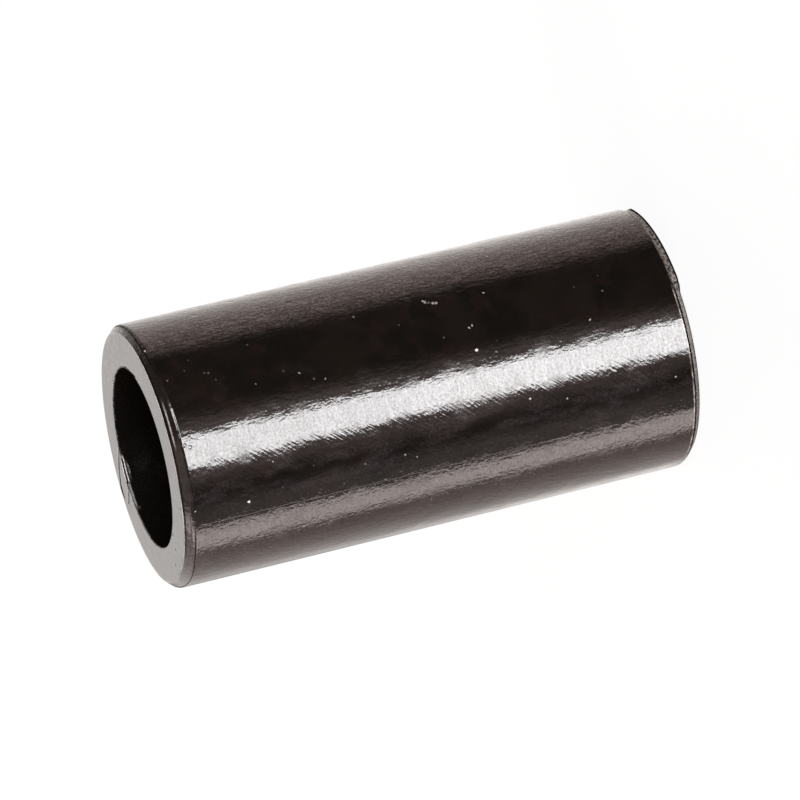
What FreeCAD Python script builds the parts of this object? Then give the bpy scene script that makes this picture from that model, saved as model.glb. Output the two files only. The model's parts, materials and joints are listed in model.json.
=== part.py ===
import FreeCAD
import Part
import Sketcher
import math
import os

# Plain steel bushing, turned in one piece from bar.
#
# The bushing is a thick-walled tube. It stands on one end with its axis along +Z,
# its lower end face on z = 0 and its axis through x = 0, y = 0. Lengths are in
# millimetres and angles in degrees.

# Driving dimensions
# Each row is an alias, its value and what it measures.
DIMENSIONS = [
    ("outer_diameter", 22.0, "seat that is pressed into an eye or a housing"),
    ("wall_thickness", 3.5, "from the seat in to the bore that takes a pin or a bolt"),
    ("sleeve_length", 44.7, "end face to end face"),
    ("lead_length", 0.55, "outer lead at each end, along the axis"),
    ("lead_depth", 0.55, "outer lead at each end, across the wall"),
    ("lead_round", 0.4, "round where a lead runs out into the seat"),
    ("bore_break", 0.08, "edge break at each mouth of the bore"),
    ("bruise_bite", 0.3, "how deep a blow has bitten the bore's upper rim"),
    ("bruise_ball", 3.0, "radius of the hollow that the blow has left"),
    ("bruise_bearing", 97.0, "where round the rim the hollow lies, from +X"),
]

# The bore is what the wall leaves open.
BORE_RADIUS = "(Dimensions.outer_diameter / 2 - Dimensions.wall_thickness)"

# The blow met the rim's corner half way between the end face and the bore's wall.
BLOW_SLOPE = 45.0

# An edge this close to the circle that is looked for is taken to be that circle.
EDGE_TOLERANCE = 1e-4

# Points of a line, and the sketch's own axes, as a constraint numbers them
LINE_START = 1
LINE_END = 2
SKETCH_AXES = -1


def fill_sheet(document):
    """The driving dimensions, one named cell each."""
    sheet = document.addObject("Spreadsheet::Sheet", "Dimensions")
    for row, (alias, value, meaning) in enumerate(DIMENSIONS, start=1):
        sheet.set("A%d" % row, alias)
        sheet.set("B%d" % row, str(value))
        sheet.set("C%d" % row, meaning)
        sheet.setAlias("B%d" % row, alias)
    document.recompute()
    return sheet


def origin_plane(body, role):
    """One of the body's own three origin planes, such as XZ_Plane."""
    return next(item for item in body.Origin.OriginFeatures if item.Role == role)


def draw_wall_section(body, sheet):
    """The wall cut along the axis, with a lead at each of its two outer corners."""
    sketch = body.newObject("Sketcher::SketchObject", "wall_section")
    sketch.AttachmentSupport = (origin_plane(body, "XZ_Plane"), [""])
    sketch.MapMode = "FlatFace"

    seat = sheet.outer_diameter / 2
    bore = seat - sheet.wall_thickness
    depth = sheet.lead_depth
    lead = sheet.lead_length
    length = sheet.sleeve_length
    corners = [
        (bore, 0),
        (seat - depth, 0),
        (seat, lead),
        (seat, length - lead),
        (seat - depth, length),
        (bore, length),
    ]
    points = [FreeCAD.Vector(across, along, 0) for across, along in corners]
    count = len(points)
    sides = [Part.LineSegment(points[i], points[(i + 1) % count]) for i in range(count)]
    sketch.addGeometry(sides, False)
    lower_face, lower_lead, seat_line, upper_lead, upper_face, bore_line = range(count)

    for side in range(count):
        following = (side + 1) % count
        joined = (side, LINE_END, following, LINE_START)
        sketch.addConstraint(Sketcher.Constraint("Coincident", *joined))
    for side in (lower_face, upper_face):
        sketch.addConstraint(Sketcher.Constraint("Horizontal", side))
    for side in (seat_line, bore_line):
        sketch.addConstraint(Sketcher.Constraint("Vertical", side))
    on_floor = (lower_face, LINE_START, SKETCH_AXES)
    sketch.addConstraint(Sketcher.Constraint("PointOnObject", *on_floor))

    axis_point = (SKETCH_AXES, LINE_START)
    sized = [
        ("DistanceX", axis_point, (lower_face, LINE_START), bore,
         "bore_radius", BORE_RADIUS),
        ("DistanceX", axis_point, (seat_line, LINE_START), seat,
         "seat_radius", "Dimensions.outer_diameter / 2"),
        ("DistanceY", (bore_line, LINE_END), (bore_line, LINE_START), length,
         "bore_length", "Dimensions.sleeve_length"),
        ("DistanceX", (lower_lead, LINE_START), (lower_lead, LINE_END), depth,
         "lower_lead_depth", "Dimensions.lead_depth"),
        ("DistanceY", (lower_lead, LINE_START), (lower_lead, LINE_END), lead,
         "lower_lead_length", "Dimensions.lead_length"),
        ("DistanceX", (upper_lead, LINE_END), (upper_lead, LINE_START), depth,
         "upper_lead_depth", "Dimensions.lead_depth"),
        ("DistanceY", (upper_lead, LINE_START), (upper_lead, LINE_END), lead,
         "upper_lead_length", "Dimensions.lead_length"),
    ]
    for kind, first, second, value, name, rule in sized:
        constraint = Sketcher.Constraint(kind, *first, *second, value)
        number = sketch.addConstraint(constraint)
        sketch.renameConstraint(number, name)
        sketch.setExpression("Constraints." + name, rule)
    return sketch


def turn_wall(body, section):
    """The section turned once round the sleeve's axis."""
    wall = body.newObject("PartDesign::Revolution", "wall")
    wall.Profile = section
    wall.ReferenceAxis = (section, ["V_Axis"])
    wall.Angle = 360
    return wall


def round_edges(shape, radius, heights):
    """Names of the edges of this radius about the axis that lie at these heights."""
    names = []
    for number, edge in enumerate(shape.Edges, start=1):
        if not isinstance(edge.Curve, Part.Circle):
            continue
        centre = edge.Curve.Center
        on_axis = math.hypot(centre.x, centre.y) < EDGE_TOLERANCE
        same_radius = abs(edge.Curve.Radius - radius) < EDGE_TOLERANCE
        same_height = min(abs(centre.z - height) for height in heights) < EDGE_TOLERANCE
        if on_axis and same_radius and same_height:
            names.append("Edge%d" % number)
    return names


def soften_leads(body, wall, sheet):
    """A round where each lead runs out into the seat, so that it starts without shaving."""
    heights = (sheet.lead_length, sheet.sleeve_length - sheet.lead_length)
    softened = body.newObject("PartDesign::Fillet", "softened_leads")
    softened.Base = (wall, round_edges(wall.Shape, sheet.outer_diameter / 2, heights))
    softened.setExpression("Radius", "Dimensions.lead_round")
    return softened


def break_bore_edges(body, softened, sheet):
    """The sharp edge taken off both mouths of the bore."""
    heights = (0, sheet.sleeve_length)
    bore = sheet.outer_diameter / 2 - sheet.wall_thickness
    broken = body.newObject("PartDesign::Chamfer", "broken_bore_edges")
    broken.Base = (softened, round_edges(softened.Shape, bore, heights))
    broken.setExpression("Size", "Dimensions.bore_break")
    return broken


def bruise_rim(body):
    """A shallow hollow in the bore's upper rim, where something hard has hit it."""
    bruise = body.newObject("PartDesign::SubtractiveSphere", "bruise")
    bruise.setExpression("Radius", "Dimensions.bruise_ball")
    back_off = "(Dimensions.bruise_ball - Dimensions.bruise_bite)"
    reach = "(%s - %s * cos(%g deg))" % (BORE_RADIUS, back_off, BLOW_SLOPE)
    height = "Dimensions.sleeve_length + %s * sin(%g deg)" % (back_off, BLOW_SLOPE)
    bearing = "(Dimensions.bruise_bearing * 1 deg)"
    bruise.setExpression("Placement.Base.x", "%s * cos(%s)" % (reach, bearing))
    bruise.setExpression("Placement.Base.y", "%s * sin(%s)" % (reach, bearing))
    bruise.setExpression("Placement.Base.z", height)
    return bruise


def build_sleeve(document, sheet):
    """The one solid that the bushing is."""
    body = document.addObject("PartDesign::Body", "Sleeve")
    body.Label = "sleeve"
    wall = turn_wall(body, draw_wall_section(body, sheet))
    document.recompute()
    softened = soften_leads(body, wall, sheet)
    document.recompute()
    broken = break_bore_edges(body, softened, sheet)
    document.recompute()
    bruise = bruise_rim(body)
    document.recompute()

    for earlier, later in ((wall, softened), (softened, broken), (broken, bruise)):
        removed = earlier.Shape.Volume - later.Shape.Volume
        print("%s takes off %.3f mm3" % (later.Name, removed))
        if removed <= 0:
            raise RuntimeError(later.Name + " cut nothing")
    return body


def check(document, pieces):
    """Stops before anything is written if a feature or a solid has failed."""
    for item in document.Objects:
        if "Invalid" in item.State or "Error" in item.State:
            raise RuntimeError("%s failed: %s" % (item.Name, item.State))
    for piece in pieces:
        if piece.Shape.isNull() or not piece.Shape.isValid():
            raise RuntimeError(piece.Label + " has no valid shape")


def main():
    document = FreeCAD.newDocument("bushing")
    sheet = fill_sheet(document)
    pieces = [build_sleeve(document, sheet)]
    document.recompute()
    check(document, pieces)

    os.makedirs("parts", exist_ok=True)
    for piece in pieces:
        box = piece.Shape.optimalBoundingBox()
        print("%s: %d solid, %.2f x %.2f x %.2f mm, %.1f mm3" % (
            piece.Label, len(piece.Shape.Solids),
            box.XLength, box.YLength, box.ZLength, piece.Shape.Volume))
        piece.Shape.exportStep(os.path.join("parts", piece.Label + ".step"))


main()
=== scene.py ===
# %% [markdown]
# # A plain steel bushing
#
# A bushing is a thick-walled tube that a pin or a bolt passes through. This one is turned
# from bar in one piece, has a small lead at each end, and wears a glossy brown-black coat.
# It stands on one end, because a tube on its side rolls. The camera is rolled instead, so
# that the picture shows the bushing lying, as the photograph does.

# %% Load the frame
import bpy
import json
import math
from mathutils import Matrix, Vector


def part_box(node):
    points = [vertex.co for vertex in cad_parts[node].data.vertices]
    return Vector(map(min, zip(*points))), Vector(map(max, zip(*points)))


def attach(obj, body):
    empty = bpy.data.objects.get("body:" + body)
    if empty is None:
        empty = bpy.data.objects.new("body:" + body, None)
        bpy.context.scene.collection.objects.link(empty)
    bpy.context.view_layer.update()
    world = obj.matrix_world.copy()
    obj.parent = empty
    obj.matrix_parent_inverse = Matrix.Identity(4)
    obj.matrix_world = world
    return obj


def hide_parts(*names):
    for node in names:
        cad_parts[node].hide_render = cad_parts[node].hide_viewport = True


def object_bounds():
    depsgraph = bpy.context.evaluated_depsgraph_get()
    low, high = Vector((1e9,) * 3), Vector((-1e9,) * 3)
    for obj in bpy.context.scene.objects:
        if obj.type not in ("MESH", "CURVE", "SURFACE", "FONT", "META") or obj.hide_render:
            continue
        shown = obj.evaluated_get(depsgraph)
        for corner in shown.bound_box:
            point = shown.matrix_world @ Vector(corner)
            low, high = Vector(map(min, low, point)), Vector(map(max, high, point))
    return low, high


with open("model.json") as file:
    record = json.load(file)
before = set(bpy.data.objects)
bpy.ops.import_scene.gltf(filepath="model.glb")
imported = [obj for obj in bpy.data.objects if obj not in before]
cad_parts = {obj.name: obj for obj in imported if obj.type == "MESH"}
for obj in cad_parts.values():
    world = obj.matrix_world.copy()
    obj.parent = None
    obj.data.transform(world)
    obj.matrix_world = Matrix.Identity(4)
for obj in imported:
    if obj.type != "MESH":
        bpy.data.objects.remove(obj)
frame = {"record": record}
cad_low, cad_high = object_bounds()
MM = 0.001
spans = [(high - low) / MM for low, high in zip(cad_low, cad_high)]
print("solid model is %.2f x %.2f x %.2f mm" % tuple(spans))

# %% [markdown]
# ## Sizes
#
# The frame gives the length of the sleeve, and its mounts give the two radii that other
# parts have to fit. Only the small edges are written here. A size that is read stays right
# when the solid model changes.

# %% Read the sizes
mounts = {mount["name"]: mount["dims"] for mount in frame["record"]["mounts"]}
seat_radius = mounts["seat"]["r_mm"] * MM
bore_radius = mounts["bore"]["r_mm"] * MM
sleeve_low, sleeve_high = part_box("sleeve")
sleeve_length = sleeve_high[2] - sleeve_low[2]
wall = seat_radius - bore_radius
lead_length = 0.55 * MM
lead_depth = 0.55 * MM
print("seat radius %.2f, bore radius %.2f, length %.2f mm" % (
    seat_radius / MM, bore_radius / MM, sleeve_length / MM))

# %% [markdown]
# ## Camera
#
# The photograph was taken from far off with a long lens: the two ends differ in size by
# only four percent. The camera looks down at the standing sleeve by sixteen degrees, and
# is then rolled about its own line of sight until the axis of the bore points to the left
# and a little down. Long lens, distance and roll were found by matching both end ovals.

# %% Place the camera
PICTURE_WIDTH = 800
FOCAL_PIXELS = 5370.0
SENSOR_WIDTH = 36.0

camera_place = Vector((-0.28 * MM, -424.4 * MM, 144.5 * MM))
camera_elevation = math.radians(16.05)
camera_roll = math.radians(103.42)

camera_data = bpy.data.cameras.new("camera")
camera_data.sensor_width = SENSOR_WIDTH
camera_data.lens = SENSOR_WIDTH * FOCAL_PIXELS / PICTURE_WIDTH
camera_data.clip_start = 10 * MM
camera_data.clip_end = 10
camera = bpy.data.objects.new("camera", camera_data)
bpy.context.scene.collection.objects.link(camera)
level_view = Matrix.Rotation(math.radians(90) - camera_elevation, 4, "X")
rolled_view = level_view @ Matrix.Rotation(-camera_roll, 4, "Z")
camera.matrix_world = Matrix.Translation(camera_place) @ rolled_view
bpy.context.scene.camera = camera
print("lens %.1f mm, rolled %.1f degrees" % (camera_data.lens, math.degrees(camera_roll)))

# %% [markdown]
# ## The turned blank
#
# A lathe makes the real sleeve. A profile spun round the axis would give the same shape.
# Here a closed cylinder stands for the seat between the two leads, and its end faces are
# drawn out and drawn in for the leads. That leaves the corners where the lathe left them,
# so that each round can follow as a bevel of its own.

# %% Helpers for edit mode
ROUND_STEPS = 384
TINY = 0.002 * MM


def start_piece():
    """Nothing stays selected, so that the next operator acts on new geometry alone."""
    bpy.ops.object.select_all(action="DESELECT")


def select_faces(piece, wanted):
    """Selects the faces for which wanted(centre, normal) is true, and nothing else."""
    bpy.ops.object.mode_set(mode="OBJECT")
    mesh = piece.data
    mesh.vertices.foreach_set("select", [False] * len(mesh.vertices))
    mesh.edges.foreach_set("select", [False] * len(mesh.edges))
    mesh.polygons.foreach_set("select", [wanted(f.center, f.normal) for f in mesh.polygons])
    bpy.ops.object.mode_set(mode="EDIT")
    bpy.ops.mesh.select_mode(type="FACE")


def select_edges(piece, wanted):
    """Selects the edges for which wanted(one end, other end) is true, and nothing else."""
    bpy.ops.object.mode_set(mode="OBJECT")
    mesh = piece.data
    points = [v.co for v in mesh.vertices]
    mesh.vertices.foreach_set("select", [False] * len(mesh.vertices))
    mesh.polygons.foreach_set("select", [False] * len(mesh.polygons))
    chosen = [wanted(points[e.vertices[0]], points[e.vertices[1]]) for e in mesh.edges]
    mesh.edges.foreach_set("select", chosen)
    bpy.ops.object.mode_set(mode="EDIT")
    bpy.ops.mesh.select_mode(type="EDGE")
    return sum(chosen)


def ring_at(radius, height):
    """A test for edges that run round the axis at this radius and height."""
    def on_ring(point):
        distance = math.hypot(point.x, point.y)
        return abs(distance - radius) < TINY and abs(point.z - height) < TINY
    return lambda first, second: on_ring(first) and on_ring(second)


# %% Turn the outside
# The normal of an end face runs at least this far along the axis.
END_FACE = 0.9
start_piece()
bpy.ops.mesh.primitive_cylinder_add(
    vertices=ROUND_STEPS, radius=seat_radius, depth=sleeve_length - 2 * lead_length,
    location=(0, 0, sleeve_length / 2), end_fill_type="NGON")
sleeve = bpy.context.active_object
sleeve.name = "turned_sleeve"
bpy.ops.object.transform_apply(location=True, rotation=True, scale=True)

face_radius = seat_radius - lead_depth
draw_in = face_radius / seat_radius
for way in (1, -1):
    select_faces(sleeve, lambda centre, normal: normal.z * way > END_FACE)
    bpy.ops.mesh.extrude_region_move(
        TRANSFORM_OT_translate={"value": (0, 0, way * lead_length)})
    bpy.ops.transform.resize(value=(draw_in, draw_in, 1), center_override=(0, 0, 0))
print("blank has", len(sleeve.data.polygons), "faces")

# %% [markdown]
# ## The bore
#
# A drill and a reamer open the real bore. A second cylinder could be cut out of the blank,
# but the cut would leave long thin faces, and the rim needs an even mesh, because it is
# scraped and bruised later on. So each end face is inset ring by ring until what is left
# has the size of the bore. The two discs are then deleted and the open rims bridged, which
# makes the wall of the bore.

# %% Open the bore
RING_WIDTH = 0.35 * MM
face_width = wall - lead_depth
ring_count = int(face_width / RING_WIDTH)
select_faces(sleeve, lambda centre, normal: abs(normal.z) > END_FACE)
for ring in range(ring_count):
    bpy.ops.mesh.inset(thickness=RING_WIDTH, depth=0)
bpy.ops.mesh.inset(thickness=face_width - ring_count * RING_WIDTH, depth=0)
bpy.ops.mesh.delete(type="ONLY_FACE")

depths_below_rim = [0.2 * MM, 0.3 * MM, 0.4 * MM, 0.6 * MM]
select_edges(sleeve, ring_at(bore_radius, sleeve_length))
for depth in depths_below_rim:
    bpy.ops.mesh.extrude_edges_move(TRANSFORM_OT_translate={"value": (0, 0, -depth)})
wall_top = sleeve_length - sum(depths_below_rim)
upper_ring = ring_at(bore_radius, wall_top)
lower_ring = ring_at(bore_radius, 0)
count = select_edges(sleeve, lambda a, b: upper_ring(a, b) or lower_ring(a, b))
bpy.ops.mesh.bridge_edge_loops()
bpy.ops.mesh.select_all(action="SELECT")
bpy.ops.mesh.normals_make_consistent(inside=False)
bpy.ops.object.mode_set(mode="OBJECT")
print("bridged", count, "edges,", len(sleeve.data.polygons), "faces")

# %% [markdown]
# ## Edges
#
# No turned edge is quite sharp. The lead runs out into the seat over a soft round, the
# outer edge of the face has only the cutter's own tiny radius, and the mouth of the bore
# has an edge break. Rounding every edge at once would make them all alike, so each ring of
# edges is picked by its radius and height and gets a bevel of its own size. Each of them
# catches a thin line of light.

# %% Round the edges
LEAD_ROUND = 0.4 * MM
half_turn = math.atan2(lead_depth, lead_length) / 2
lead_run_out = LEAD_ROUND * math.tan(half_turn)
FACE_EDGE = 0.07 * MM
BORE_BREAK = 0.08 * MM

# Each row is the radius of a ring of edges, how far it lies from the end face along the
# axis, the size of the bevel and its number of steps.
edge_rounds = [
    (seat_radius, lead_length, lead_run_out, 6),
    (face_radius, 0, FACE_EDGE, 3),
    (bore_radius, 0, BORE_BREAK, 3),
]
for radius, inward, offset, steps in edge_rounds:
    for height in (inward, sleeve_length - inward):
        count = select_edges(sleeve, ring_at(radius, height))
        bpy.ops.mesh.bevel(offset=offset, segments=steps, profile=0.5, affect="EDGES")
        bpy.ops.object.mode_set(mode="OBJECT")
        print("rounded %d edges at radius %.2f, height %.2f mm" % (
            count, radius / MM, height / MM))

# %% [markdown]
# ## Uneven leads
#
# Neither lead is as even as the drawing. The upper one was filed longer on the side that
# faces the camera and a little below. At the lower end the corner has been hammered over
# into a thin burr that stands out on one side and ends in a small knob, and next to it the
# lead is a little deeper. Such forms could be sculpted by hand. A hammer moves metal that
# is there already, so here points are moved by a rule and nothing is added, and each form
# keeps a size that can be changed. No point may leave the box of the solid model.

# %% How strong a form is at a place
def turn_of(point):
    """Where round the axis a point lies, in degrees from +X."""
    return math.degrees(math.atan2(point.y, point.x))


def hump(share):
    """1 in the middle, 0 from share 1 outwards, with no corner at either."""
    return max(0, 1 - share * share) ** 2


def plateau(value, start, rise, end, fade):
    """1 well inside start and end, 0 outside them, with a slope at each."""
    return max(0, min(1, (value - start) / rise, (end - value) / fade))


# %% Draw the upper lead out and the lower burr
# Turns and spreads are in degrees, and turns count from +X.
LONGER_TURN = -115
LONGER_SPREAD = 90
LONGER = 0.25 * MM
BURR_STARTS = -74
BURR_RISES = 6
BURR_ENDS = -1
BURR_FADES = 14
BURR_REACH = 0.50 * MM
BURR_LIP = 0.12 * MM
DEEPER_TURN = -110
DEEPER_SPREAD = 50
DEEPER = 0.08 * MM
KNOB_TURN = -71
KNOB_SPREAD = 1.9
KNOB = 0.13 * MM
BOX_GAP = 0.01 * MM

for vertex in sleeve.data.vertices:
    point = vertex.co
    distance = math.hypot(point.x, point.y)
    # Only the leads and their edges move.
    if distance < face_radius - 2 * FACE_EDGE:
        continue
    turn = turn_of(point)
    if point.z > sleeve_length / 2 and distance > face_radius + lead_depth / 2:
        # The short way round from the middle of the longer stretch
        off_middle = (turn - LONGER_TURN + 180) % 360 - 180
        point.z -= LONGER * hump(off_middle / LONGER_SPREAD)
    if point.z < FACE_EDGE:
        burr = plateau(turn, BURR_STARTS, BURR_RISES, BURR_ENDS, BURR_FADES)
        is_lip = face_radius - FACE_EDGE / 2 < distance < face_radius + FACE_EDGE / 2
        outwards = burr * (BURR_REACH + BURR_LIP * is_lip)
        outwards -= DEEPER * hump((turn - DEEPER_TURN) / DEEPER_SPREAD)
        outwards += KNOB * hump((turn - KNOB_TURN) / KNOB_SPREAD)
        widest = max(abs(point.x), abs(point.y)) / distance
        outwards = min(outwards, (seat_radius - BOX_GAP) / widest - distance)
        point.x *= 1 + outwards / distance
        point.y *= 1 + outwards / distance
burr_tip = max(v.co.to_2d().length for v in sleeve.data.vertices if v.co.z < FACE_EDGE)
print("burr reaches %.2f mm from the axis, seat %.2f mm" % (burr_tip / MM, seat_radius / MM))

# %% [markdown]
# ## Scrapes and the bruise
#
# Something hard was once forced through the bore. It left two long scrapes that run from
# the rim out across the upper face, two short ones further round the rim, and a bruised
# stretch of rim below which the wall of the bore bulges inwards. Relief in the coat alone
# would leave the line of the rim unbroken. So the mesh is made finer there alone, and its
# points are then pushed in, as the blow did.

# %% Make the scraped stretches of the rim finer
SCRAPE_CUTS = 4
SCRAPED_DEPTH = 1.3 * MM
# A strip this wide along the outer edge stays as it is.
OUTER_STRIP = 0.1 * MM
scraped_turns = [(78, 120), (-40, 40)]


def is_scraped(centre, normal):
    """Faces of the upper face and of the top of the bore, where the scrapes run."""
    near_bore = math.hypot(centre.x, centre.y) < face_radius - OUTER_STRIP
    near_scrape = any(first < turn_of(centre) < last for first, last in scraped_turns)
    return near_bore and near_scrape and centre.z > sleeve_length - SCRAPED_DEPTH


select_faces(sleeve, is_scraped)
bpy.ops.mesh.subdivide(number_cuts=SCRAPE_CUTS)
bpy.ops.object.mode_set(mode="OBJECT")
print("finer mesh:", len(sleeve.data.polygons), "faces")

# %% Scrapes on the upper face
# Each scrape is a line of (radius in mm, degrees from +X), its half width and depth in mm.
scrapes = [
    ([(7.65, 81), (8.1, 85.2), (9.2, 93.1), (10.0, 100.3), (10.05, 106.6)], 0.20, 0.12),
    ([(7.5, 88), (7.6, 96.2), (7.6, 102.9), (7.85, 107.5), (9.1, 111.3)], 0.17, 0.12),
    ([(7.55, 2), (7.62, -13), (7.68, -33)], 0.10, 0.07),
    ([(7.85, 24), (7.62, 33)], 0.09, 0.05),
]


def polar(radius, turn):
    """A point of the upper face, in metres."""
    angle = math.radians(turn)
    return Vector((radius * math.cos(angle), radius * math.sin(angle))) * MM


def distance_to_line(point, line):
    """From a flat point to the nearest part of a line with corners."""
    nearest = []
    for start, end in zip(line, line[1:]):
        along = end - start
        share = max(0, min(1, (point - start).dot(along) / along.length_squared))
        nearest.append((point - start - along * share).length)
    return min(nearest)


lines = [([polar(*corner) for corner in corners], half * MM, depth * MM)
         for corners, half, depth in scrapes]
sunk = 0
for vertex in sleeve.data.vertices:
    flat = vertex.co.to_2d()
    if vertex.co.z < sleeve_length - TINY or flat.length > face_radius - FACE_EDGE:
        continue
    for line, half, depth in lines:
        share = 1 - distance_to_line(flat, line) / half
        if share > 0:
            vertex.co.z = min(vertex.co.z, sleeve_length - depth * share)
            sunk += 1
print("scrapes moved", sunk, "points")

# %% The bruised rim and the bulge below it
BRUISE_TURN = 96
BRUISE_REACH = 10
RIM_SINKS = 0.10 * MM
RIM_WIDTH = 0.5 * MM
BULGE = 0.04 * MM
BULGE_BELOW = 0.5 * MM
BULGE_HEIGHT = 0.25 * MM

for vertex in sleeve.data.vertices:
    point = vertex.co
    distance = math.hypot(point.x, point.y)
    strength = hump((turn_of(point) - BRUISE_TURN) / BRUISE_REACH)
    depth = sleeve_length - point.z
    if strength == 0 or distance > bore_radius + RIM_WIDTH or depth > SCRAPED_DEPTH:
        continue
    from_rim = max(0, distance - bore_radius - BORE_BREAK) / RIM_WIDTH
    bulge = BULGE * strength * hump((depth - BULGE_BELOW) / BULGE_HEIGHT)
    point.z -= RIM_SINKS * strength * (1 - from_rim) ** 2 * (1 - depth / SCRAPED_DEPTH)
    point.x *= 1 - bulge / distance
    point.y *= 1 - bulge / distance
print("rim sinks %.2f mm at %d degrees" % (RIM_SINKS / MM, BRUISE_TURN))

# %% Mark painted shade in the scrapes, and bare steel with a painted glint where the blow struck
# Bare steel on the bruised rim, painted almost white as its glint
BARE_GLINT_BELOW = 0.15 * MM
BARE_GLINT_HALF = 0.12 * MM
# Each stretch runs from and to these degrees from +X. Its slope at each end and its
# strength follow.
bare_glint_stretches = [(85, 104, 3, 1.0), (100, 123, 6, 0.3)]
scrape_shade_marks = []
bare_glint_marks = []
for vertex in sleeve.data.vertices:
    flat = vertex.co.to_2d()
    depth = sleeve_length - vertex.co.z
    scrape_shade_here = 0
    bare_glint_here = 0
    if depth < SCRAPED_DEPTH and flat.length < face_radius - FACE_EDGE:
        turn = turn_of(vertex.co)
        # Painted shade in the two long scrapes
        if flat.length > bore_radius - BULGE:
            shares = [1 - distance_to_line(flat, line) / half for line, half, _ in lines[:2]]
            scrape_shade_here = max(0, *shares) * (depth < BARE_GLINT_BELOW)
        # Bare steel with a painted glint, just below the bruised rim
        if flat.length < bore_radius + BORE_BREAK:
            bare_glint_here = hump((depth - BARE_GLINT_BELOW) / BARE_GLINT_HALF)
            bare_glint_here *= max(strength * plateau(turn, start, slope, end, slope)
                             for start, end, slope, strength in bare_glint_stretches)
    scrape_shade_marks.append(scrape_shade_here)
    bare_glint_marks.append(bare_glint_here)
for name, marks in (("shade_and_dark_marks", scrape_shade_marks), ("bare_steel_glint", bare_glint_marks)):
    sleeve.data.attributes.new(name, "FLOAT", "POINT").data.foreach_set("value", marks)
    print("%s marks on %d points" % (name, sum(mark > 0 for mark in marks)))

# %% Smooth the round faces and keep the flat ones flat
SMOOTH_BELOW = math.radians(24)
start_piece()
sleeve.select_set(True)
bpy.context.view_layer.objects.active = sleeve
bpy.ops.object.shade_smooth_by_angle(angle=SMOOTH_BELOW)
print("smooth where faces meet at less than %d degrees" % round(math.degrees(SMOOTH_BELOW)))

# %% [markdown]
# ## The coat
#
# The coat is a glossy, almost black brown. It is a clear-surfaced finish, not bare metal:
# it mirrors little when looked at squarely and a lot at a glance. A painted picture could
# be wrapped round the tube for it, but that would show a seam and blur close by. So all of
# its patterns are worked out from the place of a point on the sleeve, in millimetres.

# %% Helpers for shader nodes
def calculate(tree, operation, *values):
    """One math node. Each value may be a socket or a number."""
    node = tree.nodes.new("ShaderNodeMath")
    node.operation = operation
    for socket, value in zip(node.inputs, values):
        if isinstance(value, (int, float)):
            socket.default_value = value
        else:
            tree.links.new(value, socket)
    return node.outputs[0]


def product(tree, first, *factors):
    """All of these multiplied. The first has to be a socket."""
    for factor in factors:
        first = calculate(tree, "MULTIPLY", first, factor)
    return first


def on_vector(tree, operation, vector, amounts):
    """One vector node that sets a vector against fixed amounts along x, y and z."""
    node = tree.nodes.new("ShaderNodeVectorMath")
    node.operation = operation
    tree.links.new(vector, node.inputs[0])
    node.inputs[1].default_value = amounts
    gives_number = operation in ("DISTANCE", "DOT_PRODUCT")
    return node.outputs["Value" if gives_number else "Vector"]


def axes_of(tree, vector):
    """The x, y and z of a vector."""
    node = tree.nodes.new("ShaderNodeSeparateXYZ")
    tree.links.new(vector, node.inputs[0])
    return node.outputs


def rises(tree, value, start, end):
    """Goes smoothly from 0 to 1 while the value goes from start to end."""
    node = tree.nodes.new("ShaderNodeMapRange")
    node.interpolation_type = "SMOOTHSTEP"
    tree.links.new(value, node.inputs["Value"])
    node.inputs["From Min"].default_value = start
    node.inputs["From Max"].default_value = end
    return node.outputs["Result"]


def noise(tree, vector, scale, detail=2.0):
    """Cloudy noise round 0, from about -0.3 to 0.3."""
    node = tree.nodes.new("ShaderNodeTexNoise")
    tree.links.new(vector, node.inputs["Vector"])
    node.inputs["Scale"].default_value = scale
    node.inputs["Detail"].default_value = detail
    return calculate(tree, "SUBTRACT", node.outputs["Fac"], 0.5)


def total_of(tree, parts):
    """The sum of (value, factor) pairs."""
    total = calculate(tree, "MULTIPLY", *parts[0])
    for value, factor in parts[1:]:
        total = calculate(tree, "MULTIPLY_ADD", value, factor, total)
    return total


def strongest(tree, masks):
    """The highest of several masks."""
    total = masks[0]
    for mask in masks[1:]:
        total = calculate(tree, "MAXIMUM", total, mask)
    return total


def mix_colour(tree, share, first, second):
    """Between two colours. Each may be a socket or three numbers."""
    # The node keeps its two colours in inputs 6 and 7 and its result in output 2.
    node = tree.nodes.new("ShaderNodeMix")
    node.data_type = "RGBA"
    tree.links.new(share, node.inputs["Factor"])
    for socket, value in ((node.inputs[6], first), (node.inputs[7], second)):
        if isinstance(value, tuple):
            socket.default_value = (*value, 1)
        else:
            tree.links.new(value, socket)
    return node.outputs[2]


# %% Find where each point of the coat lies
coat = bpy.data.materials.new("brown_black_coat")
coat.use_nodes = True
paint = coat.node_tree
shader = paint.nodes["Principled BSDF"]
where = paint.nodes.new("ShaderNodeTexCoord")
place = on_vector(paint, "MULTIPLY", where.outputs["Object"], (1 / MM, 1 / MM, 1 / MM))
place_x, place_y, high = axes_of(paint, place)
flat_square = total_of(paint, [(place_x, place_x), (place_y, place_y)])
from_axis = calculate(paint, "SQRT", flat_square)
below_top = calculate(paint, "SUBTRACT", sleeve_length / MM, high)
upright = calculate(paint, "ABSOLUTE", axes_of(paint, where.outputs["Normal"])[2])
on_end = rises(paint, upright, 0.85, 0.97)
on_side = calculate(paint, "SUBTRACT", 1.0, on_end)
in_bore = rises(paint, from_axis, bore_radius / MM + 0.2, bore_radius / MM + 0.05)
on_corner = rises(paint, from_axis, face_radius / MM - 0.25, face_radius / MM - 0.05)

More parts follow.
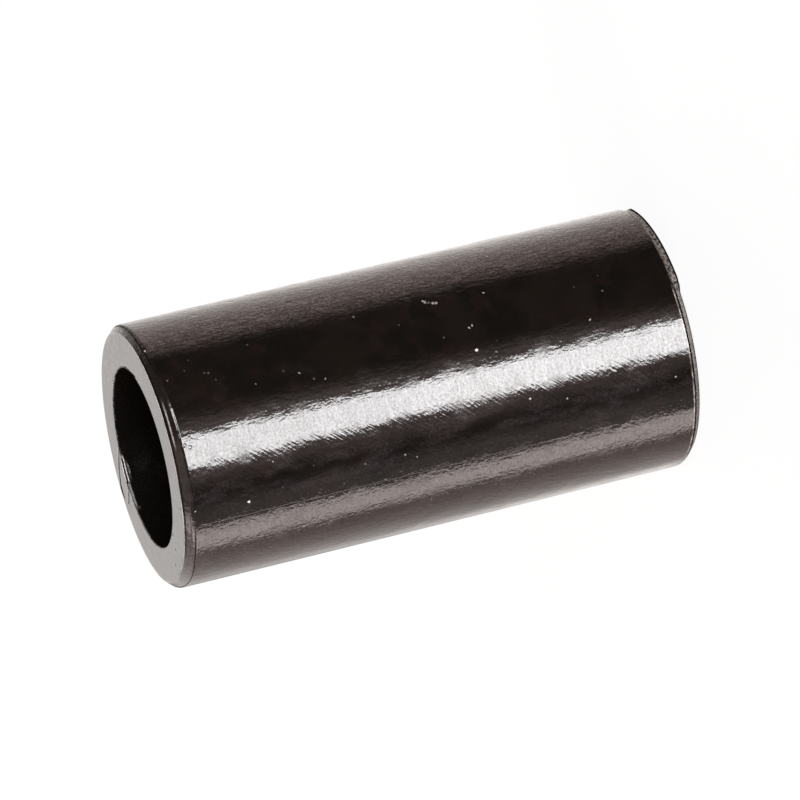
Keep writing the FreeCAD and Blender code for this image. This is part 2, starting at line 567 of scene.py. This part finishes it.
# +X is up in the picture and -Y points to the camera. Each share goes from -1 to 1.
up_share = calculate(paint, "DIVIDE", place_x, from_axis)
nearness = product(paint, place_y, -1.0)
near_share = calculate(paint, "DIVIDE", nearness, from_axis)
lower_side = rises(paint, up_share, 0.02, -0.14)
upper_side = rises(paint, up_share, -0.04, 0.04)
seen_aslant = rises(paint, calculate(paint, "ABSOLUTE", up_share), 0.3, 0.65)
under_outline = rises(paint, up_share, 0.64, 0.8)
print("nodes that say where a point lies:", len(paint.nodes))

# %% Masks for rings, for spots and for what the blow left
# Spots get a ragged outline from coordinates that a fine noise has shaken.
RAGGED = 0.22
# A spot is even out to this share of its reach.
SPOT_CORE = 0.3
shake = paint.nodes.new("ShaderNodeTexNoise")
paint.links.new(place, shake.inputs["Vector"])
shake.inputs["Scale"].default_value = 5.0
round_zero = on_vector(paint, "SUBTRACT", shake.outputs["Color"], (0.5, 0.5, 0.5))
shift = on_vector(paint, "MULTIPLY", round_zero, (RAGGED, RAGGED, RAGGED))
add_shift = paint.nodes.new("ShaderNodeVectorMath")
paint.links.new(place, add_shift.inputs[0])
paint.links.new(shift, add_shift.inputs[1])
ragged = add_shift.outputs["Vector"]


def near_ring(radius, height, reach):
    """1 on a ring round the axis, falling to 0 at this reach from it, all in mm."""
    outwards = calculate(paint, "SUBTRACT", from_axis, radius)
    upwards = calculate(paint, "SUBTRACT", high, height)
    square = total_of(paint, [(outwards, outwards), (upwards, upwards)])
    return rises(paint, calculate(paint, "SQRT", square), reach, 0.0)


def near_spot(turn, height, reach, radius=seat_radius / MM):
    """1 at a ragged spot of the outside, falling to 0 at this reach from it."""
    angle = math.radians(turn)
    spot = (radius * math.cos(angle), radius * math.sin(angle), height)
    from_spot = on_vector(paint, "DISTANCE", ragged, spot)
    return rises(paint, from_spot, reach, reach * SPOT_CORE)


def left_by_blow(name):
    """A mask kept on the mesh under this name, such as the painted shade in the scrapes and
    the bare steel with its painted glint.
    """
    node = paint.nodes.new("ShaderNodeAttribute")
    node.attribute_name = name
    return node.outputs["Fac"]


# %% [markdown]
# ## Texture of the coat
#
# The coat was sprayed over ground steel. It has the fine dimples of a dried spray, low
# swells that bend the mirrored lamps, wrinkles along the tube that fray their edges, and
# rings and slanting hairs from the grinding below. One noise could stand for all of them,
# but it would look alike all over. So each is a noise of its own size, drawn out along the
# tube or round it. The lower side is scuffed, and next to both outlines it is rougher.

# %% Dimples, grinding marks, slanting hairs and scuffs
# How far the hairs turn round the axis, in radians for each mm along it
HAIR_SLANT = -0.08
dimples = noise(paint, place, 1.5)
swells = noise(paint, place, 0.35, 1.0)
blobs = noise(paint, place, 3.5)
grain = noise(paint, place, 5.0)
rings = noise(paint, on_vector(paint, "MULTIPLY", place, (1.5, 1.5, 8.0)), 1.0, 1.0)
twist = paint.nodes.new("ShaderNodeVectorRotate")
twist.rotation_type = "Z_AXIS"
paint.links.new(place, twist.inputs["Vector"])
paint.links.new(product(paint, high, HAIR_SLANT), twist.inputs["Angle"])
hairs = noise(paint, on_vector(paint, "MULTIPLY", twist.outputs[0], (4.2, 4.2, 0.9)), 1.0, 1.0)
wrinkles = noise(paint, on_vector(paint, "MULTIPLY", place, (3.0, 3.0, 0.9)), 1.0)
rougher = calculate(paint, "MULTIPLY_ADD", seen_aslant, 1.8, 0.9)
streaked = on_vector(paint, "MULTIPLY", place, (1.1, 1.1, 0.3))
scuffs = rises(paint, noise(paint, streaked, 1.0, 3.0), -0.08, 0.16)
scuffed = product(paint, scuffs, lower_side)

# %% Turning marks of the end faces
# Noise that depends on the distance from the axis alone comes out as rings.
turned = paint.nodes.new("ShaderNodeCombineXYZ")
paint.links.new(from_axis, turned.inputs["X"])
turning_marks = noise(paint, turned.outputs[0], 7.0)
print("nodes with the texture:", len(paint.nodes))

# %% [markdown]
# ## Marks of use
#
# One fine scratch runs along the lower side of the tube for two thirds of its length. Specks
# of dust, some of them in a short curl, and a few dents lie where the photograph shows them.
# Both leads were filed by hand, so each ends in a line of its own, and each has a thin
# painted highlight. A mesh fine enough to hold them would be far too heavy, so they are
# masks for relief, colour and gloss.

# %% The long scratch along the tube
SCRATCH_TURN = math.radians(-125.3)
SCRATCH_HALF_WIDTH = 0.07
# It comes in and goes out between these distances from the upper end, in mm.
SCRATCH_COMES = (0.8, 2.0)
SCRATCH_GOES = (34, 29)
scratch_across = (-math.sin(SCRATCH_TURN), math.cos(SCRATCH_TURN), 0)
scratch_outwards = (math.cos(SCRATCH_TURN), math.sin(SCRATCH_TURN), 0)
sideways = on_vector(paint, "DOT_PRODUCT", place, scratch_across)
waver = noise(paint, on_vector(paint, "MULTIPLY", place, (0, 0, 0.4)), 1.0)
sideways = total_of(paint, [(sideways, 1.0), (waver, 0.5)])
off_scratch = calculate(paint, "ABSOLUTE", sideways)
outwards = on_vector(paint, "DOT_PRODUCT", place, scratch_outwards)
scratch = product(
    paint,
    rises(paint, off_scratch, SCRATCH_HALF_WIDTH, 0.0),
    rises(paint, below_top, *SCRATCH_COMES),
    rises(paint, below_top, *SCRATCH_GOES),
    rises(paint, outwards, 9.0, 10.0))
print("scratch ends %d mm below the upper end" % SCRATCH_GOES[0])

# %% Dust where the photograph shows it
# Each speck is turn in degrees, height in mm, reach in mm and how bright it is.
specks = [
    (-41.1, 44.2, 0.17, 1.0), (-51.4, 36.2, 0.11, 0.1), (-49.8, 27.0, 0.13, 0.2),
    (-64.8, 39.7, 0.10, 0.1), (-70.7, 36.7, 0.10, 0.2), (-70.4, 33.0, 0.12, 0.3),
    (-67.8, 34.2, 0.10, 0.1), (-74.4, 32.0, 0.11, 0.2), (-75.5, 31.1, 0.12, 0.3),
    (-60.0, 43.5, 0.10, 0.2), (-57.1, 41.9, 0.10, 0.1), (-60.8, 40.1, 0.12, 0.1),
    (-53.2, 16.0, 0.11, 0.6), (-50.0, 21.05, 0.13, 0.5), (-50.5, 20.85, 0.12, 0.2),
    (-51.0, 20.95, 0.14, 0.5), (-51.6, 20.65, 0.12, 0.2), (-51.8, 20.75, 0.12, 0.1),
    (-52.4, 20.35, 0.14, 0.4), (-52.7, 20.1, 0.15, 0.5), (-68.1, 18.3, 0.12, 0.5),
    (-67.5, 18.0, 0.12, 0.5), (-78.4, 18.3, 0.14, 1.0), (-69.9, 20.6, 0.10, 0.2),
    (-30.8, 14.0, 0.10, 0.3), (-65.6, 6.5, 0.10, 0.2), (-77.1, 8.3, 0.11, 0.5),
    (-119.2, 39.3, 0.15, 1.0), (-104.3, 36.9, 0.10, 0.3), (-114.8, 29.3, 0.09, 0.3),
    (-81.2, 16.7, 0.12, 0.2), (-60.4, 40.4, 0.10, 0.1),
    (-103.9, 14.8, 0.12, 0.5), (-107.5, 11.7, 0.11, 0.3), (-115.0, 25.9, 0.11, 0.5),
    (-117.3, 24.9, 0.10, 0.3), (-109.4, 2.2, 0.12, 0.4), (-117.8, 43.8, 0.10, 0.6),
]
shown_dust = [product(paint, near_spot(*place_and_reach), strength)
              for *place_and_reach, strength in specks]

# %% A little more dust all round
STRAY_DUST = 0.1
cells = paint.nodes.new("ShaderNodeTexVoronoi")
paint.links.new(place, cells.inputs["Vector"])
cells.inputs["Scale"].default_value = 0.6
stray_dust = rises(paint, cells.outputs["Distance"], 0.05, 0.02)
dust = strongest(paint, [*shown_dust, product(paint, stray_dust, STRAY_DUST)])
dust = product(paint, dust, calculate(paint, "SUBTRACT", 1.0, in_bore))
print("shown specks of dust:", len(specks))

# %% Dents, and the ring that the hammer left round the knob of the burr
# Each dent is turn in degrees, height in mm and reach in mm.
dents = [
    (-32.8, 3.3, 0.45), (-14.9, 35.1, 0.35), (-30.9, 31.2, 0.35), (-22.4, 38.7, 0.3),
    (-89.0, 43.7, 0.2), (-90.3, 43.3, 0.2),
]
dent = strongest(paint, [near_spot(*spot) for spot in dents])
KNOB_HEIGHT = 0.35
RING_REACHES = (0.6, 0.35)
wide_and_narrow = [near_spot(KNOB_TURN, KNOB_HEIGHT, reach) for reach in RING_REACHES]
ring_dent = calculate(paint, "SUBTRACT", *wide_and_narrow)
print("dents:", len(dents))

# %% The upper lead: a groove and a ridge where the filing ends, and a painted highlight
# Distances below the end face, in mm: where the filing ends, how much further it ends
# where the lead is longer, and where the painted highlight runs
RUN_OUT = 0.43
RUN_OUT_LONGER = 0.35
LEAD_HIGHLIGHT_AT = 0.30
filed_way = (math.cos(math.radians(LONGER_TURN)), math.sin(math.radians(LONGER_TURN)), 0)
filed_share = on_vector(paint, "DOT_PRODUCT", place, filed_way)
filed_share = calculate(paint, "DIVIDE", filed_share, from_axis)
longer_share = rises(paint, filed_share, 0.2, 0.8)
run_out = calculate(paint, "MULTIPLY_ADD", longer_share, RUN_OUT_LONGER, RUN_OUT)
past_run_out = calculate(paint, "SUBTRACT", below_top, run_out)
on_rim = rises(paint, from_axis, face_radius / MM + 0.1, face_radius / MM + 0.3)


def line_at(offset, half_width):
    """A line that follows the upper run-out at this distance from it, in mm."""
    off_line = calculate(paint, "ABSOLUTE", calculate(paint, "SUBTRACT", past_run_out, offset))
    return product(paint, rises(paint, off_line, half_width, 0.0), on_rim)


groove = line_at(0.0, 0.11)
ridge = line_at(-0.2, 0.13)
# A thin painted highlight round the upper lead
off_lead_highlight = calculate(paint, "ABSOLUTE", calculate(paint, "SUBTRACT", below_top, LEAD_HIGHLIGHT_AT))
lead_highlight = product(
    paint,
    rises(paint, off_lead_highlight, 0.08, 0.02),
    on_corner,
    rises(paint, up_share, -0.02, 0.1),
    rises(paint, up_share, 0.42, 0.25),
    rises(paint, blobs, -0.35, 0.1))
print("filing ends %.2f to %.2f mm below the upper end" % (RUN_OUT, RUN_OUT + RUN_OUT_LONGER))

# %% The lower lead: filed steel, a groove where it ends and a painted highlight above that
# Heights in mm. Both lines run on the near side and end where the burr begins.
LOW_GROOVE_AT = 0.60
LOW_HIGHLIGHT_AT = 0.74
beside_burr = product(
    paint,
    on_corner,
    rises(paint, up_share, 0.36, 0.28),
    rises(paint, near_share, 0.2, 0.5))
off_groove = calculate(paint, "ABSOLUTE", calculate(paint, "SUBTRACT", high, LOW_GROOVE_AT))
low_groove = product(paint, rises(paint, off_groove, 0.11, 0.03), beside_burr)
# A thin painted highlight above the lower groove
off_low_highlight = calculate(paint, "ABSOLUTE", calculate(paint, "SUBTRACT", high, LOW_HIGHLIGHT_AT))
low_highlight = product(
    paint,
    rises(paint, off_low_highlight, 0.08, 0.03),
    beside_burr,
    rises(paint, dimples, -0.25, 0.25))
low_lead = product(paint, rises(paint, high, 0.72, 0.5), on_corner)
filed = product(paint, low_lead, rises(paint, grain, -0.2, 0.12))
print("lower groove at %.2f mm, bright line at %.2f mm" % (LOW_GROOVE_AT, LOW_HIGHLIGHT_AT))

# %% [markdown]
# ## Relief, colour and gloss
#
# The masks are now put to use. Each mark could be a material of its own, but marks overlap
# and fade into each other, so one material mixes them all. Relief is a height in
# millimetres, which tilts the surface for the light alone. Colour goes from the brown of
# the coat, with painted glints, sheen and shade, through filed steel, painted highlights
# and bare steel with its painted glint to painted shade and dark marks, which cover
# everything. These, dust and scuffs take the gloss away.

# %% Relief
# Each row is a pattern and its height in mm. The first list is for the side alone.
side_relief = total_of(paint, [
    (dimples, 0.012),
    (swells, 0.05),
    (product(paint, blobs, rougher), 0.006),
    (rings, 0.004),
    (product(paint, wrinkles, rougher), 0.006),
    (product(paint, hairs, lower_side), 0.010),
    (product(paint, hairs, under_outline), 0.008),
    (product(paint, grain, scuffed), 0.006),
    (product(paint, grain, seen_aslant), 0.008),
    (product(paint, grain, under_outline), 0.014),
    (product(paint, grain, upper_side), 0.006),
    (product(paint, wrinkles, upper_side), 0.008),
    (product(paint, grain, low_lead), 0.012),
    (low_groove, -0.02),
    (scratch, -0.016),
    (groove, -0.010),
    (ridge, 0.014),
])
relief = total_of(paint, [
    (product(paint, side_relief, on_side), 1.0),
    (product(paint, dimples, on_end), 0.008),
    (product(paint, turning_marks, on_end), 0.002),
    (grain, 0.0012),
    (dust, 0.02),
    (dent, -0.03),
    (ring_dent, 0.03),
])
bump = paint.nodes.new("ShaderNodeBump")
bump.inputs["Distance"].default_value = MM
paint.links.new(relief, bump.inputs["Height"])
paint.links.new(bump.outputs[0], shader.inputs["Normal"])
print("nodes with the relief:", len(paint.nodes))

# %% Painted shade in the scrapes, the grooves and the corners of the leads, and dark pits
# Each pit of the upper face is turn in degrees and radius in mm.
pits = [(-117.9, 9.92), (-147.5, 7.80), (-152.9, 8.77), (-162.8, 9.42)]
PIT_REACH = 0.2
faces_camera = rises(paint, near_share, 0.5, 0.7)
upper_corner = near_ring(face_radius / MM + 0.11, sleeve_length / MM - 0.1, 0.12)
shade_and_dark_marks = strongest(paint, [
    # Painted shade along the lower outer edge
    product(paint, rises(paint, high, 0.16, 0.10), on_corner),
    # Painted shade in the upper groove, fading on the side facing the camera
    product(paint, groove, rises(paint, near_share, 1.0, 0.7)),
    # Painted shade at the upper corner, on the side facing the camera
    product(paint, upper_corner, faces_camera),
    # Painted shade in the lower groove
    low_groove,
    # A darker ring round the knob
    product(paint, ring_dent, 0.9),
    # Painted shade in the two long scrapes
    rises(paint, left_by_blow("shade_and_dark_marks"), 0.15, 0.55),
    *[near_spot(turn, sleeve_length / MM, PIT_REACH, radius) for turn, radius in pits],
])
print("pits in the upper face:", len(pits))

# %% Colour: brown blotches, worn edges, dust, painted glints and painted sheen
BROWN = (0.0066, 0.0049, 0.0040)
BLACK = (0.0038, 0.0034, 0.0028)
RED_BROWN = (0.0078, 0.0050, 0.0042)
WORN = (0.15, 0.135, 0.125)
FILED = (0.175, 0.157, 0.145)
# Painted glints on the scuffs
SCUFF_GLINT = (0.021, 0.017, 0.018)
# Painted sheen on the strokes next to the upper outline
STROKE_SHEEN = (0.044, 0.037, 0.034)
# Almost white: bare steel, painted glints and painted highlights
BARE_STEEL_AND_GLINT = (0.80, 0.79, 0.78)
DUST = (0.62, 0.57, 0.54)
blotches = rises(paint, noise(paint, place, 0.22, 4.0), -0.12, 0.12)
reddish = rises(paint, noise(paint, place, 0.6, 3.0), 0.0, 0.2)
edges = strongest(paint, [
    near_ring(face_radius / MM - 0.08, sleeve_length / MM, 0.14),
    near_ring(bore_radius / MM, sleeve_length / MM, 0.14),
    near_ring(bore_radius / MM, 0.0, 0.14),
])
patchy = rises(paint, noise(paint, place, 1.2, 3.0), -0.12, 0.10)
worn = product(paint, edges, patchy)
fine = rises(paint, grain, -0.35, 0.35)
# Scuffs below the bright strip, lightened with painted glints
scuffs_with_glints = product(paint, scuffed, rises(paint, seen_aslant, 0.9, 0.3), fine)
strokes = total_of(paint, [(wrinkles, 0.6), (hairs, 0.3), (grain, 0.7)])
# Strokes next to the upper outline, lightened with painted sheen
strokes_with_sheen = product(paint, under_outline, rises(paint, strokes, -0.1, 0.25))
bare_steel_glint = left_by_blow("bare_steel_glint")

# %% Lay the colours over each other
# Each row is a mask and its colour, and a later one covers an earlier one.
layers = [
    (reddish, RED_BROWN),
    # Scuffs with painted glints
    (scuffs_with_glints, SCUFF_GLINT),
    # Strokes with painted sheen
    (strokes_with_sheen, STROKE_SHEEN),
    # The bore is painted darker, as shade
    (in_bore, BLACK),
    (worn, WORN),
    (filed, FILED),
    # Painted highlight on the upper lead
    (product(paint, lead_highlight, 0.4), BARE_STEEL_AND_GLINT),
    # Painted highlight on the lower lead
    (product(paint, low_highlight, 0.45), BARE_STEEL_AND_GLINT),
    (dust, DUST),
    # Bare steel with its glint painted in
    (bare_steel_glint, BARE_STEEL_AND_GLINT),
    # Painted shade and dark marks cover everything
    (shade_and_dark_marks, BLACK),
]
colour = mix_colour(paint, blotches, BLACK, BROWN)
for mask, laid_colour in layers:
    colour = mix_colour(paint, mask, colour, laid_colour)
paint.links.new(colour, shader.inputs["Base Color"])
print("colours laid over the coat:", len(layers))

# %% Gloss: smudges, a duller bore, and no shine where shade and dark marks are painted
LEAST_ROUGHNESS = 0.08
PLAIN_SHINE = 0.5
COAT_IOR = 1.5
smudges = rises(paint, noise(paint, place, 0.45, 4.0), 0.0, 0.2)
roughness = total_of(paint, [
    (smudges, 0.12),
    (worn, 0.12),
    (dust, 0.3),
    (in_bore, 0.1),
    (shade_and_dark_marks, 0.3),
    (filed, 0.2),
    (bare_steel_glint, 0.3),
    (scuffed, 0.05),
])
roughness = calculate(paint, "ADD", roughness, LEAST_ROUGHNESS)
paint.links.new(roughness, shader.inputs["Roughness"])
shine = total_of(paint, [
    (rings, 0.25),
    (grain, 0.5),
    (shade_and_dark_marks, -0.5),
    (in_bore, -0.38),
    (product(paint, strokes, under_outline), 0.4),
])
shine = calculate(paint, "MAXIMUM", calculate(paint, "ADD", shine, PLAIN_SHINE), 0.0)
paint.links.new(shine, shader.inputs["Specular IOR Level"])
shader.inputs["IOR"].default_value = COAT_IOR
print("plain coat has roughness %.2f" % LEAST_ROUGHNESS)

# %% Put the coat on the sleeve
sleeve.data.materials.clear()
sleeve.data.materials.append(coat)
print("coat has", len(paint.nodes), "nodes")
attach(sleeve, "root")
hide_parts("sleeve")

# %% [markdown]
# ## The light tent
#
# The bushing is a mirror, so what stands around it draws it. The photograph shows, from the
# lower edge to the upper one: white paper, a dim strip lamp, a dark gap, a bright strip lamp
# along the middle, a wide dark gap, and white paper again. All of them run along the tube,
# so in the standing frame they depend on the compass direction and hardly on height. The
# two ends mirror other heights, and there the lamps stop or lean. Lamps and sheets of paper
# could stand round the sleeve, but each would light the rest too. Painted into the world as
# smooth bands of direction, each band can be set by itself.

# %% Compass direction and height of each ray
world = bpy.data.worlds.new("light_tent")
bpy.context.scene.world = world
world.use_nodes = True
tent = world.node_tree
tent.nodes.clear()
direction = tent.nodes.new("ShaderNodeTexCoord").outputs["Generated"]
ray_x, ray_y, ray_z = axes_of(tent, direction)
towards_camera = product(tent, ray_y, -1.0)
compass = calculate(tent, "DEGREES", calculate(tent, "ARCTAN2", ray_x, towards_camera))
height = calculate(tent, "DEGREES", calculate(tent, "ARCSINE", ray_z))


def band(angle, start, end, soft):
    """1 between start and end, 0 outside them, with both edges spread over soft degrees."""
    come = rises(tent, angle, start - soft / 2, start + soft / 2)
    go = rises(tent, angle, end - soft / 2, end + soft / 2)
    return calculate(tent, "SUBTRACT", come, go)


# %% Lamps
# Each row: brightness, compass from and to, softness, height from and to, softness, lean.
# The compass counts from the camera towards +X, and all angles are in degrees. The lean
# moves a band sideways by this share of its height. A brightness below zero takes light
# away where two rows lie over each other.

# The bright strip, weaker towards the upper end, then its soft upper edge, and at last the
# stretch that the round of the upper lead mirrors
lamps = [
    (20.0, -18.6, 8.0, 3.5, -55, 4, 8, 0),
    (-2.2, -18.6, 8.0, 3.5, -14.8, 4, 2.5, 0),
    (0.30, 8, 18, 10, -55, 4, 8, 0),
    (15.0, -4, 30, 6, 3, 22, 6, 0.33),
]
# The dim strip, and a faint glow between it and the bright one
dim_strip = [
    (5.1, -96.2, -75, 5, -50, 50, 30, 0),
    (0.55, -76, -52, 24, -50, 30, 30, 0),
]
print("rows for lamps:", len(lamps) + len(dim_strip))

# %% Paper, and the glow of the lamps on it
# Glow round the bright strip
halo = [
    (0.8, -33, 21, 22, -55, 8, 10, 0),
]
# What the tube mirrors next to its two outlines
beside_tube = [
    (0.92, 93, 200, 16, -25, -2, 12, 0),
    (-0.12, 90, 145, 16, -15.5, -2, 4, 0),
    (0.4, 110, 200, 50, -25, -2, 12, 0),
    (0.3, 140, 200, 30, -25, -16, 6, 0),
    (1.0, -163, -98, 12, -25, -2, 12, 0),
    (0.5, -200, -163, 12, -25, -2, 12, 0),
    (0.6, -200, -153, 16, -25, -16.5, 5, 0),
    (0.14, -165, -118, 20, -25, -2, 12, 0),
]
# What the lower lead mirrors
under_tube = [
    (0.45, 90, 200, 20, -100, -26, 12, 0),
    (0.45, -200, -90, 20, -100, -26, 12, 0),
    (1.9, 90, 200, 20, -100, -66, 12, 0),
    (1.9, -200, -90, 20, -100, -66, 12, 0),
]
# What the upper face mirrors, and higher up what its rounded edges mirror
before_upper_face = [
    (1.35, 156, 200, 14, 2, 60, 14, 0),
    (1.35, -200, -156, 14, 2, 60, 14, 0),
    (5.5, 158, 200, 14, 30, 58, 10, 0),
    (5.5, -200, -158, 14, 30, 58, 10, 0),
]
# What the upper lead mirrors
before_upper_lead = [
    (1.9, -156, -80, 24, -4, 60, 20, 0),
    (0.65, 118, 160, 24, -4, 36, 20, 0),
    (0.2, 20, 130, 30, 10, 78, 20, 0),
    (1.0, -70, 12, 30, 36, 84, 16, 0),
]
paper = halo + beside_tube + under_tube + before_upper_face + before_upper_lead
print("rows for paper:", len(paper))


# %% Turn rows into light
def add_up(rows):
    """The brightness of a direction: each row is one band of compass and height."""
    brightness = 0.0
    for strength, west, east, soft, low, top, soft_height, lean in rows:
        leant = calculate(tent, "MULTIPLY_ADD", height, -lean, compass) if lean else compass
        across = band(leant, west, east, soft)
        shape = product(tent, across, band(height, low, top, soft_height))
        brightness = calculate(tent, "MULTIPLY_ADD", shape, strength, brightness)
    return brightness


def glow(rows, colour):
    """One background of a colour, as bright as its rows say."""
    light = tent.nodes.new("ShaderNodeBackground")
    tent.links.new(add_up(rows), light.inputs["Strength"])
    if isinstance(colour, tuple):
        light.inputs["Color"].default_value = (*colour, 1)
    else:
        tent.links.new(colour, light.inputs["Color"])
    return light.outputs[0]


def both(first, second):
    """Two lights together."""
    node = tent.nodes.new("ShaderNodeAddShader")
    tent.links.new(first, node.inputs[0])
    tent.links.new(second, node.inputs[1])
    return node.outputs[0]


# %% Put lamps and paper together
# The glow on the camera's side is warmer than the paper behind the sleeve.
DARK = 0.03
BRIGHT_STRIP_COLOUR = (1.0, 0.99, 0.995)
DIM_STRIP_COLOUR = (1.0, 0.87, 0.845)
PAPER_BEHIND = (1.0, 0.955, 0.925)
PAPER_BEFORE = (1.0, 0.77, 0.72)
everywhere = [(DARK, -200, 200, 1, -100, 100, 1, 0)]
behind = rises(tent, calculate(tent, "ABSOLUTE", compass), 95, 165)
paper_tone = mix_colour(tent, behind, PAPER_BEFORE, PAPER_BEHIND)
tent_light = both(glow(lamps, BRIGHT_STRIP_COLOUR), glow(dim_strip, DIM_STRIP_COLOUR))
tent_light = both(tent_light, glow(paper + everywhere, paper_tone))

# %% The camera itself sees only white behind the sleeve
seen_by_camera = tent.nodes.new("ShaderNodeLightPath").outputs["Is Camera Ray"]
white = tent.nodes.new("ShaderNodeBackground")
white.inputs["Color"].default_value = (1, 1, 1, 1)
choice = tent.nodes.new("ShaderNodeMixShader")
tent.links.new(seen_by_camera, choice.inputs["Fac"])
tent.links.new(tent_light, choice.inputs[1])
tent.links.new(white.outputs[0], choice.inputs[2])
world_output = tent.nodes.new("ShaderNodeOutputWorld")
tent.links.new(choice.outputs[0], world_output.inputs["Surface"])
print("tent has", len(tent.nodes), "nodes")

# %% [markdown]
# ## The floor
#
# A pale sheet lies under the lower end and takes the sleeve's shadow. Paper lit by lamps
# alone would need much more light to come out white, and that light would fall on the
# sleeve too. So most of the sheet glows for the camera by itself. It isn't shown to mirror
# rays, because the lamps of a product table reach below the tube that lies on it, and here
# the tube stands: a floor in the mirror would hide them.

# %% Floor
FLOOR_SIZE = 6.0
PAPER_GREY = 0.9
SELF_LIT_SHARE = 0.93
start_piece()
bpy.ops.mesh.primitive_plane_add(size=FLOOR_SIZE, location=(0, 0, 0))
floor = bpy.context.active_object
floor.name = "pale_floor"
floor.visible_glossy = False
sheet = bpy.data.materials.new("pale_paper")
sheet.use_nodes = True
paper_nodes = sheet.node_tree.nodes
paper_links = sheet.node_tree.links
paper_nodes.clear()
lit = paper_nodes.new("ShaderNodeBsdfDiffuse")
lit.inputs["Color"].default_value = (PAPER_GREY, PAPER_GREY, PAPER_GREY, 1)
bright = paper_nodes.new("ShaderNodeEmission")
bright.inputs["Strength"].default_value = 1.0
for_camera = paper_nodes.new("ShaderNodeLightPath").outputs["Is Camera Ray"]
self_lit = product(sheet.node_tree, for_camera, SELF_LIT_SHARE)
blend = paper_nodes.new("ShaderNodeMixShader")
paper_links.new(self_lit, blend.inputs["Fac"])
paper_links.new(lit.outputs[0], blend.inputs[1])
paper_links.new(bright.outputs[0], blend.inputs[2])
paper_output = paper_nodes.new("ShaderNodeOutputMaterial")
paper_links.new(blend.outputs[0], paper_output.inputs["Surface"])
floor.data.materials.append(sheet)
print("floor is %.1f m wide" % FLOOR_SIZE)

# %% Show colours as they are
bpy.context.scene.view_settings.view_transform = "Standard"
